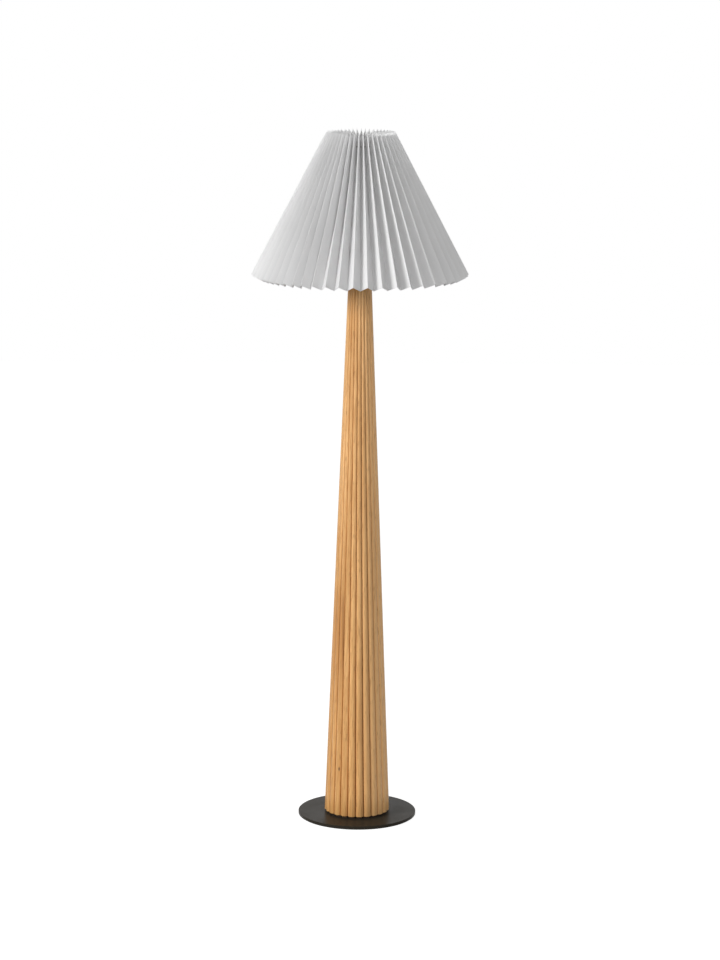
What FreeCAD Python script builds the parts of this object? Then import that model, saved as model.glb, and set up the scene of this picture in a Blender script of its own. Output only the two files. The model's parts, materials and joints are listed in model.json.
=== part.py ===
import FreeCAD, Part
import math
import os
import re

import Sketcher
from FreeCAD import Placement, Rotation, Vector

# A floor lamp: a pleated cone shade on a harp, over a tapered reeded wood column
# on a round steel plate. Millimetres, Z up, the pad's underside on z = 0, the
# column's axis on Z and the front towards -Y.

os.makedirs("parts", exist_ok=True)
doc = FreeCAD.newDocument("lamp")

# ---------------------------------------------------------------- sizes

SIZES = {
    # clearances
    "seat_gap": 0.3,
    "fit_gap": 0.15,
    # base
    "plate_radius": 138.5,
    "plate_thick": 7.0,
    "plate_bevel": 0.7,
    "pad_thick": 1.5,
    "pad_inset": 3.0,
    "screw_circle": 40.0,
    "screw_radius": 3.0,
    "screw_length": 28.0,
    "screw_head_radius": 6.0,
    "screw_head_height": 3.0,
    "screw_count": 4,
    "screw_recess_radius": 2.0,
    "screw_recess_depth": 2.0,
    "screw_tip": 2.0,
    "insert_wall": 2.0,
    "insert_length": 16.0,
    "insert_sink": 0.4,
    # column
    "column_height": 1316.5,
    "foot_radius": 76.5,
    "neck_radius": 24.8,
    "foot_wall": 16.0,
    "neck_wall": 9.0,
    "reed_count": 24,
    "reed_depth_foot": 3.8,
    "reed_depth_neck": 1.3,
    "reed_phase": 9.8,
    "reed_drift": -5.0,
    "foot_plug_height": 32.0,
    "neck_plug_height": 40.0,
    # cord inlet and the lead inside
    "inlet_level": 62.0,
    "bushing_radius": 6.0,
    "bushing_flange": 8.5,
    "bushing_flange_thick": 2.5,
    "lead_radius": 2.9,
    "lead_bend": 42.0,
    "bushing_reach": 3.0,
    "flange_round": 1.0,
    # fittings on the column's top
    "nipple_radius": 5.0,
    "nipple_bore": 3.6,
    "nut_flats": 16.0,
    "nut_thick": 4.0,
    "washer_radius": 12.0,
    "washer_thick": 1.5,
    "cap_thick": 3.0,
    "cap_overhang": 0.8,
    "cap_round": 1.0,
    "nipple_tail": 2.0,
    "nipple_grip": 8.0,
    "collar_radius": 8.0,
    "collar_height": 20.0,
    # socket
    "cap_wall": 0.6,
    "cap_height": 18.0,
    "cap_base_radius": 9.0,
    "cap_shoulder_radius": 11.0,
    "cap_shoulder": 7.0,
    "shell_radius": 16.6,
    "shell_wall": 0.5,
    "shell_height": 47.0,
    "shell_lap": 5.0,
    "liner_wall": 0.8,
    "block_radius": 13.0,
    "block_height": 24.0,
    "block_rise": 4.0,
    "block_lip": 2.0,
    "liner_inset": 1.0,
    "terminal_rise": 7.0,
    "terminal_radius": 2.6,
    "terminal_height": 1.4,
    "thread_shell_radius": 13.8,
    "thread_shell_wall": 0.4,
    "thread_shell_floor": 4.0,
    "contact_thick": 0.8,
    "contact_half_width": 3.0,
    "contact_tail": 6.0,
    "switch_level": 12.0,
    "shaft_radius": 2.2,
    "shaft_length": 24.0,
    "shaft_grip": 8.0,
    "knob_gap": 4.0,
    "knob_ribs": 12,
    "knob_radius": 5.0,
    "knob_length": 13.0,
    # bulb
    "bulb_radius": 30.0,
    "bulb_length": 109.0,
    "bulb_cap_radius": 13.0,
    "bulb_cap_height": 25.0,
    "bulb_cap_wall": 0.6,
    "bulb_wall": 0.9,
    "bulb_lean": 35.0,
    "tip_gap": 3.0,
    "tip_radius": 4.8,
    "source_drop": 16.0,
    "source_radius": 13.0,
    "source_stem": 5.0,
    # harp
    "harp_height": 226.8,
    "harp_half_width": 56.0,
    "harp_leg": 26.8,
    "harp_wire": 1.5,
    "harp_crown": 50.0,
    "harp_sweep": 50.0,
    "harp_foot_length": 16.0,
    "saddle_thick": 1.2,
    "saddle_width": 14.0,
    "ear_width": 5.0,
    "ear_height": 13.0,
    "sleeve_radius": 4.6,
    "sleeve_wall": 0.7,
    "stud_radius": 3.0,
    "stud_height": 13.0,
    "stud_collar_radius": 5.0,
    "stud_collar_rise": 3.7,
    "stud_collar_drop": 3.5,
    # shade
    "shade_height": 327.0,
    "shade_foot_radius": 250.0,
    "shade_rim_radius": 78.6,
    "shade_rim_rise": 30.0,
    "pleat_count": 50,
    "pleat_depth_foot": 22.8,
    "pleat_depth_rim": 28.4,
    "paper_thick": 0.6,
    "thread_radius": 0.6,
    "thread_inset": 4.0,
    "ring_wire": 1.8,
    "low_ring_rise": 24.0,
    "strut_wire": 1.3,
    "strut_count": 6,
    "spider_thick": 1.5,
    "spider_radius": 13.0,
    "arm_wire": 1.4,
    "arm_count": 3,
    # finial
    "finial_radius": 8.5,
    "finial_height": 8.5,
    "finial_waist": 5.5,
    "finial_knob_radius": 8.0,
    "finial_crown_radius": 5.0,
    "finial_washer_thick": 1.0,
    "finial_washer_radius": 9.5,
}

sheet = doc.addObject("Spreadsheet::Sheet", "dims")
for row, (word, size) in enumerate(SIZES.items(), start=1):
    sheet.set(f"A{row}", word)
    sheet.set(f"B{row}", str(size))
    sheet.setAlias(f"B{row}", word)
doc.recompute()

CELL = re.compile(r"[a-z]+(?:_[a-z]+)+")


def bound(formula):
    """A formula in the sheet's words, as the document reads it."""
    return CELL.sub(lambda word: "dims." + word.group(), formula)


def value(formula):
    """What a formula comes to, as a plain number."""
    result = sheet.evalExpression(bound(formula))
    return float(getattr(result, "Value", result))


# ---------------------------------------------------------------- levels and lines

PLATE_TOP = "(pad_thick + plate_thick)"
COLUMN_TOP = f"({PLATE_TOP} + column_height)"
CAP_TOP = f"({COLUMN_TOP} + cap_thick)"
NUT_TOP = f"({CAP_TOP} + nut_thick)"
COLLAR_TOP = f"({NUT_TOP} + collar_height)"
SADDLE_TOP = f"({COLLAR_TOP} + saddle_thick)"
SOCKET_RIM = f"({SADDLE_TOP} + cap_height)"
SHELL_LOW = f"({SOCKET_RIM} - shell_lap)"
SHELL_TOP = f"({SHELL_LOW} + shell_height)"
BLOCK_LOW = f"({SHELL_LOW} + block_rise)"
BLOCK_TOP = f"({BLOCK_LOW} + block_height)"
SWITCH_LEVEL = f"({BLOCK_LOW} + switch_level)"
CONTACT_TOP = f"({BLOCK_TOP} + contact_thick)"
BULB_CAP_LOW = f"({CONTACT_TOP} + tip_gap)"
BULB_CAP_TOP = f"({CONTACT_TOP} + bulb_cap_height)"
BULB_CENTRE = f"({CONTACT_TOP} + bulb_length - bulb_radius)"
HARP_TOP = f"({SADDLE_TOP} + harp_height)"
SPIDER_LOW = f"({HARP_TOP} + stud_collar_rise + seat_gap)"
SPIDER_TOP = f"({SPIDER_LOW} + spider_thick)"
WIRE_LEVEL = f"({SPIDER_LOW} + spider_thick / 2)"
FINIAL_WASHER_LOW = f"({SPIDER_TOP} + seat_gap)"
FINIAL_LOW = f"({FINIAL_WASHER_LOW} + finial_washer_thick)"
SHADE_RIM = f"({SPIDER_LOW} + shade_rim_rise)"
SHADE_FOOT = f"({SHADE_RIM} - shade_height)"
SLANT = "atan((shade_foot_radius - shade_rim_radius) / shade_height)"


def along_column(foot, neck, level):
    """A radius that goes evenly from the column's foot to its top."""
    return f"({foot} + ({neck} - {foot}) * ({level} - {PLATE_TOP}) / column_height)"


BORE_FOOT = "(foot_radius - foot_wall)"
BORE_NECK = "(neck_radius - neck_wall)"


def bore_at(level):
    """Radius of the column's hollow at a level."""
    return along_column(BORE_FOOT, BORE_NECK, level)


def fold_slope(radius, depth):
    """Angle between a folded panel and the radial line, on the slanted cut."""
    half_pitch = f"({radius} - {depth} * cos({SLANT})) * tan(180 / pleat_count)"
    return f"atan({half_pitch} / {depth})"


def fold_wall(radius, depth):
    """Radial thickness of a panel, measured along the slanted cut."""
    return f"(paper_thick / sin({fold_slope(radius, depth)}))"


# Where the inner edge of a valley fold starts and ends, as radius and level.
INNER_DEPTH_FOOT = f"(pleat_depth_foot + {fold_wall('shade_foot_radius', 'pleat_depth_foot')})"
INNER_DEPTH_RIM = f"(pleat_depth_rim + {fold_wall('shade_rim_radius', 'pleat_depth_rim')})"
VALLEY_FOOT_RADIUS = f"(shade_foot_radius - {INNER_DEPTH_FOOT} * cos({SLANT}))"
VALLEY_FOOT_LEVEL = f"({SHADE_FOOT} - {INNER_DEPTH_FOOT} * sin({SLANT}))"
VALLEY_RIM_RADIUS = f"(shade_rim_radius - {INNER_DEPTH_RIM} * cos({SLANT}))"
VALLEY_RIM_LEVEL = f"({SHADE_RIM} - {INNER_DEPTH_RIM} * sin({SLANT}))"


def valley_at(level):
    """Radius of the valley folds' inner edges at a level."""
    share = f"({level} - {VALLEY_FOOT_LEVEL}) / ({VALLEY_RIM_LEVEL} - {VALLEY_FOOT_LEVEL})"
    return f"({VALLEY_FOOT_RADIUS} + ({VALLEY_RIM_RADIUS} - {VALLEY_FOOT_RADIUS}) * {share})"


def ring_radius(level):
    """Radius of a wire ring's centre line where it sits inside the folds."""
    return f"({valley_at(level)} - ring_wire - seat_gap)"


# ---------------------------------------------------------------- drawing helpers


def new_body(name):
    """An empty sub-part under its own name."""
    body = doc.addObject("PartDesign::Body", name)
    body.Label = name
    body.AllowCompound = True
    return body


def datum(body, role):
    """One of the body's own origin planes or axes."""
    for feature in body.Origin.OriginFeatures:
        if feature.Role == role:
            return feature


def sketch_on(body, plane, shift=("0", "0", "0"), turn="0", axis=Vector(0, 0, 1)):
    """A sketch on an origin plane, shifted and turned in that plane's own axes."""
    sketch = body.newObject("Sketcher::SketchObject", "outline")
    sketch.AttachmentSupport = [(datum(body, plane), "")]
    sketch.MapMode = "FlatFace"
    offset = Vector(*(value(part) for part in shift))
    sketch.AttachmentOffset = Placement(offset, Rotation(axis, value(turn)))
    for side, part in zip("xyz", shift):
        if part != "0":
            sketch.setExpression(f"AttachmentOffset.Base.{side}", bound(part))
    if turn != "0":
        sketch.setExpression("AttachmentOffset.Rotation.Angle", bound(turn))
    return sketch


def pin_point(sketch, edge, end, x, y):
    """Hold one end of an edge at a place given by two formulas."""
    for kind, formula in (("DistanceX", x), ("DistanceY", y)):
        index = sketch.addConstraint(
            Sketcher.Constraint(kind, -1, 1, edge, end, value(formula)))
        sketch.setExpression(f"Constraints[{index}]", bound(formula))


def draw(sketch, corners, closed=True):
    """Lines through corners (x, y). A corner (x, y, radius, side) starts an arc,
    with its centre to the left (side 1) or to the right (side -1) of the way."""
    places = [Vector(value(c[0]), value(c[1]), 0) for c in corners]
    count = len(corners) if closed else len(corners) - 1
    ends = []
    for k in range(count):
        here = places[k]
        there = places[(k + 1) % len(places)]
        if len(corners[k]) == 2:
            edge = sketch.addGeometry(Part.LineSegment(here, there), False)
            ends.append((edge, 1, 2))
            continue
        radius = value(corners[k][2])
        side = corners[k][3]
        chord = there - here
        rise = math.sqrt(max(radius ** 2 - chord.Length ** 2 / 4, 0))
        left = Vector(-chord.y, chord.x, 0).normalize()
        centre = (here + there) * 0.5 + left * (side * rise)
        first, last = (here, there) if side > 0 else (there, here)
        start = math.atan2(first.y - centre.y, first.x - centre.x)
        stop = math.atan2(last.y - centre.y, last.x - centre.x)
        circle = Part.Circle(centre, Vector(0, 0, 1), radius)
        edge = sketch.addGeometry(Part.ArcOfCircle(circle, start, stop), False)
        ends.append((edge, 1, 2) if side > 0 else (edge, 2, 1))
    for k in range(count):
        edge, begin, end = ends[k]
        if k + 1 < count or closed:
            following, following_begin, _ = ends[(k + 1) % count]
            sketch.addConstraint(
                Sketcher.Constraint("Coincident", edge, end, following, following_begin))
        pin_point(sketch, edge, begin, *corners[k][:2])
        if len(corners[k]) > 2:
            index = sketch.addConstraint(
                Sketcher.Constraint("Radius", edge, value(corners[k][2])))
            sketch.setExpression(f"Constraints[{index}]", bound(corners[k][2]))
    if not closed:
        edge, _, end = ends[-1]
        pin_point(sketch, edge, end, *corners[-1][:2])
    return sketch


def draw_circle(sketch, radius, x="0", y="0"):
    """A full circle at a place given by two formulas."""
    centre = Vector(value(x), value(y), 0)
    edge = sketch.addGeometry(
        Part.Circle(centre, Vector(0, 0, 1), value(radius)), False)
    pin_point(sketch, edge, 3, x, y)
    index = sketch.addConstraint(Sketcher.Constraint("Radius", edge, value(radius)))
    sketch.setExpression(f"Constraints[{index}]", bound(radius))
    return sketch


def revolve(body, sketch, cut=False):
    """Turn a section round its sketch's upright axis."""
    kind = "PartDesign::Groove" if cut else "PartDesign::Revolution"
    feature = body.newObject(kind, "turned")
    feature.Profile = sketch
    feature.ReferenceAxis = (sketch, ["V_Axis"])
    feature.Angle = 360
    return feature


def pad(body, sketch, length, midplane=False):
    """Raise a section off its sketch."""
    feature = body.newObject("PartDesign::Pad", "raised")
    feature.Profile = sketch
    feature.setExpression("Length", bound(length))
    feature.Midplane = midplane
    return feature


def pocket(body, sketch, length, reverse=False):
    """Cut a section into the body, and stop if it cut nothing."""
    doc.recompute()
    before = body.Shape.Volume
    feature = body.newObject("PartDesign::Pocket", "cut")
    feature.Profile = sketch
    feature.setExpression("Length", bound(length))
    feature.Reversed = reverse
    doc.recompute()
    if body.Shape.Volume > before - 1e-3:
        raise RuntimeError(body.Label + ": a pocket cut nothing")
    return feature


def loft(body, sections, cut=False):
    """A straight-sided loft from one section to the next."""
    kind = "PartDesign::SubtractiveLoft" if cut else "PartDesign::AdditiveLoft"
    feature = body.newObject(kind, "lofted")
    feature.Profile = sections[0]
    feature.Sections = sections[1:]
    feature.Ruled = True
    return feature


def pipe(body, section, path):
    """Run a round section along a path of lines and tangent arcs."""
    feature = body.newObject("PartDesign::AdditivePipe", "run")
    feature.Profile = section
    feature.Spine = path
    return feature


def around(body, features, count):
    """Repeat features evenly round the Z axis."""
    doc.recompute()
    pattern = body.newObject("PartDesign::PolarPattern", "around")
    pattern.Originals = features
    pattern.Axis = (datum(body, "Z_Axis"), [""])
    pattern.Angle = 360
    pattern.setExpression("Occurrences", bound(count))
    body.Tip = pattern
    return pattern


def turned(name, corners):
    """A sub-part turned from one half section of (radius, level) corners."""
    body = new_body(name)
    revolve(body, draw(sketch_on(body, "XZ_Plane"), corners))
    return body


def tube(name, inner, outer, low, high):
    """A plain turned tube or washer."""
    return turned(name, [(inner, low), (outer, low), (outer, high), (inner, high)])


def hex_nut(name, low):
    """A thin lock nut for the threaded nipple."""
    body = new_body(name)
    sketch = sketch_on(body, "XY_Plane", ("0", "0", low))
    corner = "nut_flats / sqrt(3)"
    draw(sketch, [(f"{corner} * cos({60 * k})", f"{corner} * sin({60 * k})") for k in range(6)])
    draw_circle(sketch, "nipple_radius + fit_gap")
    pad(body, sketch, "nut_thick")
    return body


def screw_axis(body, low):
    """A section sketch whose upright axis is the first base screw's."""
    return sketch_on(body, "XZ_Plane", ("screw_circle", low, "0"))


# ---------------------------------------------------------------- base


def make_base():
    """The steel plate, its soft pad, and the screws up into the column."""
    pad_edge = "plate_radius - pad_inset"
    turned("base_pad", [("0", "0"), (pad_edge, "0"), (pad_edge, "pad_thick"), ("0", "pad_thick")])

    plate = turned("base_plate", [
        ("0", "pad_thick"),
        ("plate_radius - plate_bevel", "pad_thick"),
        ("plate_radius", "pad_thick + plate_bevel"),
        ("plate_radius", f"{PLATE_TOP} - plate_bevel"),
        ("plate_radius - plate_bevel", PLATE_TOP),
        ("0", PLATE_TOP)])
    hole = "(screw_radius + seat_gap)"
    sink = "(screw_head_radius + seat_gap)"
    cut = revolve(plate, draw(screw_axis(plate, "pad_thick"), [
        ("0", "0"), (sink, "0"), (hole, "screw_head_height"),
        (hole, "plate_thick"), ("0", "plate_thick")]), cut=True)
    around(plate, [cut], "screw_count")

    screws = new_body("base_screws")
    thread = revolve(screws, draw(screw_axis(screws, "pad_thick"), [
        ("0", "screw_recess_depth"), ("screw_recess_radius", "screw_recess_depth"),
        ("screw_recess_radius", "0"), ("screw_head_radius", "0"),
        ("screw_radius", "screw_head_height"), ("screw_radius", "screw_length"),
        ("0", "screw_length")]))
    around(screws, [thread], "screw_count")

    inserts = new_body("threaded_inserts")
    sleeve = revolve(inserts, draw(screw_axis(inserts, PLATE_TOP), [
        ("screw_radius + fit_gap", "insert_sink"),
        ("screw_radius + insert_wall", "insert_sink"),
        ("screw_radius + insert_wall", "insert_length"),
        ("screw_radius + fit_gap", "insert_length")]))
    around(inserts, [sleeve], "screw_count")


# ---------------------------------------------------------------- column


def reed_ring(body, level, crest, depth, phase):
    """A closed ring of convex reeds that meet in sharp grooves."""
    sketch = sketch_on(body, "XY_Plane", ("0", "0", level))
    step = "360 / reed_count"
    groove = f"({crest} - {depth})"
    half_chord = f"({groove} * sin({step} / 2))"
    bulge = f"({crest} - {groove} * cos({step} / 2))"
    bow = f"(({half_chord}^2 + {bulge}^2) / (2 * {bulge}))"
    corners = []
    for k in range(int(value("reed_count"))):
        angle = f"({phase} + {k} * {step})"
        corners.append((f"{groove} * cos({angle})", f"{groove} * sin({angle})", bow, 1))
    return draw(sketch, corners)


def make_column():
    """The reeded wood cone, hollow, with a wood plug glued in at each end."""
    column = new_body("column")
    loft(column, [
        reed_ring(column, PLATE_TOP, "foot_radius", "reed_depth_foot", "reed_phase"),
        reed_ring(column, COLUMN_TOP, "neck_radius", "reed_depth_neck",
                  "(reed_phase + reed_drift)")])
    loft(column, [
        draw_circle(sketch_on(column, "XY_Plane", ("0", "0", PLATE_TOP)), BORE_FOOT),
        draw_circle(sketch_on(column, "XY_Plane", ("0", "0", COLUMN_TOP)), BORE_NECK)],
        cut=True)
    inlet = sketch_on(column, "XZ_Plane")
    draw_circle(inlet, "bushing_radius + fit_gap", "0", "inlet_level")
    pocket(column, inlet, "2 * foot_radius")

    plug_top = f"({PLATE_TOP} + foot_plug_height)"
    foot_plug = turned("foot_plug", [
        ("0", PLATE_TOP),
        (f"{bore_at(PLATE_TOP)} - fit_gap", PLATE_TOP),
        (f"{bore_at(plug_top)} - fit_gap", plug_top),
        ("0", plug_top)])
    nest = "(screw_radius + insert_wall + fit_gap)"
    deep = "(screw_length - plate_thick + screw_tip)"
    cut = revolve(foot_plug, draw(screw_axis(foot_plug, PLATE_TOP), [
        ("0", "0"), (nest, "0"), (nest, deep), ("0", deep)]), cut=True)
    around(foot_plug, [cut], "screw_count")

    plug_low = f"({COLUMN_TOP} - neck_plug_height)"
    turned("neck_plug", [
        ("nipple_radius + fit_gap", plug_low),
        (f"{bore_at(plug_low)} - fit_gap", plug_low),
        (f"{bore_at(COLUMN_TOP)} - fit_gap", COLUMN_TOP),
        ("nipple_radius + fit_gap", COLUMN_TOP)])
    tube("neck_washer", "nipple_radius + fit_gap", "washer_radius",
         f"{plug_low} - washer_thick", plug_low)
    hex_nut("neck_nut", f"({plug_low} - washer_thick - nut_thick)")


# ---------------------------------------------------------------- cord inlet and lead


def make_inlet():
    """The bushing in the column's back, and the lead from it up to the socket."""
    crest = along_column("foot_radius", "neck_radius", "(inlet_level - bushing_flange)")
    inner = f"({bore_at('inlet_level')} - bushing_reach)"
    bushing = new_body("cord_bushing")
    upright = sketch_on(bushing, "YZ_Plane", ("0", "inlet_level", "0"), "270")
    # the sketch's upright axis points to +Y: corners are (radius, distance back)
    revolve(bushing, draw(upright, [
        ("lead_radius + fit_gap", inner),
        ("bushing_radius", inner),
        ("bushing_radius", f"{crest} + fit_gap"),
        ("bushing_flange", f"{crest} + fit_gap"),
        ("bushing_flange", f"{crest} + bushing_flange_thick - flange_round"),
        ("bushing_flange - flange_round", f"{crest} + bushing_flange_thick"),
        ("lead_radius + fit_gap", f"{crest} + bushing_flange_thick")]))

    lead = new_body("supply_lead")
    bend_top = "(inlet_level + lead_bend)"
    path = draw(sketch_on(lead, "YZ_Plane"), [
        (crest, "inlet_level"),
        ("lead_bend", "inlet_level", "lead_bend", -1),
        ("0", bend_top),
        ("0", f"{BLOCK_LOW} - fit_gap")], closed=False)
    end = sketch_on(lead, "XY_Plane", ("0", "0", f"{BLOCK_LOW} - fit_gap"))
    pipe(lead, draw_circle(end, "lead_radius"), path)


# ---------------------------------------------------------------- column top and socket


def make_top_fittings():
    """Threaded nipple, cap disc, nut and collar that carry harp and socket."""
    plug_low = f"({COLUMN_TOP} - neck_plug_height)"
    tube("threaded_nipple", "nipple_bore", "nipple_radius",
         f"{plug_low} - washer_thick - nut_thick - nipple_tail", f"{SADDLE_TOP} + nipple_grip")
    disc = "(neck_radius + cap_overhang)"
    turned("column_cap", [
        ("nipple_radius + fit_gap", COLUMN_TOP),
        (disc, COLUMN_TOP),
        (disc, f"{CAP_TOP} - cap_round", "cap_round", 1),
        (f"{disc} - cap_round", CAP_TOP),
        ("nipple_radius + fit_gap", CAP_TOP)])
    hex_nut("cap_nut", CAP_TOP)
    tube("neck_collar", "nipple_radius + fit_gap", "collar_radius", NUT_TOP, COLLAR_TOP)


def switch_hole(body, radius):
    """A hole to the front for the switch shaft, on its own level."""
    sketch = sketch_on(body, "XZ_Plane")
    draw_circle(sketch, radius, "0", SWITCH_LEVEL)
    return pocket(body, sketch, "2 * shell_radius", reverse=True)


def make_socket():
    """The lamp holder: cap, shell, liner, insulating block, contacts, screws."""
    rim = "(shell_radius + fit_gap + cap_wall)"
    inside = "(shell_radius + fit_gap)"
    turned("socket_cap", [
        ("nipple_radius + fit_gap", SADDLE_TOP),
        ("cap_base_radius", SADDLE_TOP),
        ("cap_shoulder_radius", f"{SADDLE_TOP} + cap_shoulder"),
        (rim, f"{SHELL_LOW} - 3 * cap_wall"),
        (rim, SOCKET_RIM),
        (inside, SOCKET_RIM),
        (inside, f"{SHELL_LOW} - 2 * cap_wall"),
        ("cap_shoulder_radius - 2 * cap_wall", f"{SADDLE_TOP} + nipple_grip"),
        ("nipple_radius + fit_gap", f"{SADDLE_TOP} + nipple_grip")])

    shell = tube("socket_shell", "shell_radius - shell_wall", "shell_radius",
                 SHELL_LOW, SHELL_TOP)
    switch_hole(shell, "shaft_radius + 2 * seat_gap")

    liner_outer = "(shell_radius - shell_wall - fit_gap)"
    liner = tube("socket_liner", f"{liner_outer} - liner_wall", liner_outer,
                 f"{SHELL_LOW} + liner_inset", f"{SHELL_TOP} - liner_inset")
    switch_hole(liner, "shaft_radius + 2 * seat_gap")

    block = turned("socket_block", [
        ("0", BLOCK_LOW), ("block_radius", BLOCK_LOW),
        ("block_radius", f"{BLOCK_TOP} - block_lip"),
        (f"{liner_outer} - liner_wall - fit_gap", f"{BLOCK_TOP} - block_lip"),
        (f"{liner_outer} - liner_wall - fit_gap", BLOCK_TOP),
        ("0", BLOCK_TOP)])
    switch_hole(block, "shaft_radius + seat_gap")

    lip = f"({SHELL_TOP} - 2 * liner_inset)"
    turned("thread_shell", [
        ("thread_shell_radius - thread_shell_floor", BLOCK_TOP),
        ("thread_shell_radius", BLOCK_TOP),
        ("thread_shell_radius", lip),
        ("thread_shell_radius - thread_shell_wall", lip),
        ("thread_shell_radius - thread_shell_wall", f"{BLOCK_TOP} + thread_shell_wall"),
        ("thread_shell_radius - thread_shell_floor", f"{BLOCK_TOP} + thread_shell_wall")])

    contact = new_body("centre_contact")
    tongue = sketch_on(contact, "XY_Plane", ("0", "0", BLOCK_TOP))
    draw(tongue, [
        ("-contact_half_width", "-contact_tail"),
        ("contact_half_width", "-contact_tail"),
        ("contact_half_width", "0", "contact_half_width", 1),
        ("0", "contact_half_width", "contact_half_width", 1),
        ("-contact_half_width", "0")])
    pad(contact, tongue, "contact_thick")

    screws = new_body("terminal_screws")
    # each screw's axis runs outwards along X from the block's side
    axis = sketch_on(screws, "XZ_Plane",
                     ("block_radius", f"{BLOCK_LOW} + terminal_rise", "0"), "270")
    head = revolve(screws, draw(axis, [
        ("0", "0"), ("terminal_radius", "0"), ("terminal_radius", "terminal_height"),
        ("0", "terminal_height")]))
    around(screws, [head], "2")


def make_switch():
    """The turn switch: a shaft into the block and its ribbed knob."""
    front = "(shell_radius + knob_gap)"
    shaft = new_body("switch_shaft")
    # these sketches' upright axes point to -Y: corners are (radius, distance forward)
    axis = sketch_on(shaft, "YZ_Plane", ("0", SWITCH_LEVEL, "0"), "90")
    outer = f"({front} + shaft_grip)"
    revolve(shaft, draw(axis, [
        ("0", f"{outer} - shaft_length"), ("shaft_radius", f"{outer} - shaft_length"),
        ("shaft_radius", outer), ("0", outer)]))

    knob = new_body("switch_knob")
    face = sketch_on(knob, "XZ_Plane", ("0", "0", front))
    corners = []
    for k in range(int(value("knob_ribs"))):
        angle = f"({k} * 360 / knob_ribs)"
        place = (f"knob_radius * cos({angle})", f"{SWITCH_LEVEL} + knob_radius * sin({angle})")
        corners.append(place + ("knob_radius * 0.45", 1))
    pad(knob, draw(face, corners), "knob_length")
    bore = sketch_on(knob, "XZ_Plane", ("0", "0", front))
    draw_circle(bore, "shaft_radius + fit_gap", "0", SWITCH_LEVEL)
    pocket(knob, bore, "shaft_grip + fit_gap", reverse=True)


# ---------------------------------------------------------------- bulb


def make_bulb():
    """Screw cap, contact tip, frosted envelope and the light source inside it."""
    turned("bulb_cap", [
        ("tip_radius + fit_gap", BULB_CAP_LOW),
        ("0.7 * bulb_cap_radius", BULB_CAP_LOW),
        ("bulb_cap_radius", f"{BULB_CAP_LOW} + tip_gap"),
        ("bulb_cap_radius", BULB_CAP_TOP),
        ("bulb_cap_radius - bulb_cap_wall", BULB_CAP_TOP),
        ("bulb_cap_radius - bulb_cap_wall", f"{BULB_CAP_LOW} + tip_gap + 1"),
        ("tip_radius + fit_gap", f"{BULB_CAP_LOW} + 1")])
    turned("bulb_contact", [
        ("0", f"{CONTACT_TOP} + fit_gap"),
        ("0.7 * tip_radius", f"{CONTACT_TOP} + 0.3 * tip_gap"),
        ("tip_radius", f"{BULB_CAP_LOW} + tip_gap / 2"),
        ("0", f"{BULB_CAP_LOW} + tip_gap / 2")])

    lean = "bulb_lean"
    inner = "(bulb_radius - bulb_wall)"
    outside = [
        ("bulb_cap_radius + bulb_cap_wall", BULB_CAP_TOP),
        ("bulb_cap_radius + bulb_wall", f"{BULB_CAP_TOP} + source_stem"),
        (f"bulb_radius * cos({lean})", f"{BULB_CENTRE} - bulb_radius * sin({lean})",
         "bulb_radius", 1),
        ("0", f"{BULB_CENTRE} + bulb_radius")]
    inside = [
        ("0", f"{BULB_CENTRE} + {inner}", inner, -1),
        (f"{inner} * cos({lean})", f"{BULB_CENTRE} - {inner} * sin({lean})"),
        ("bulb_cap_radius", f"{BULB_CAP_TOP} + source_stem"),
        ("bulb_cap_radius + bulb_cap_wall - bulb_wall", BULB_CAP_TOP)]
    turned("bulb_glass", outside + inside)

    top = f"({BULB_CENTRE} - source_drop)"
    plug = "(bulb_cap_radius - bulb_cap_wall - fit_gap)"
    turned("bulb_source", [
        ("0", f"{BULB_CAP_TOP} - bulb_cap_height / 3"),
        (plug, f"{BULB_CAP_TOP} - bulb_cap_height / 3"),
        (plug, BULB_CAP_TOP),
        ("source_stem", f"{BULB_CAP_TOP} + source_stem"),
        ("source_stem", f"{top} - 2 * bulb_wall"),
        ("source_radius", f"{top} - 2 * bulb_wall"),
        ("source_radius", top),
        ("0", top)])


# ---------------------------------------------------------------- harp


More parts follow.
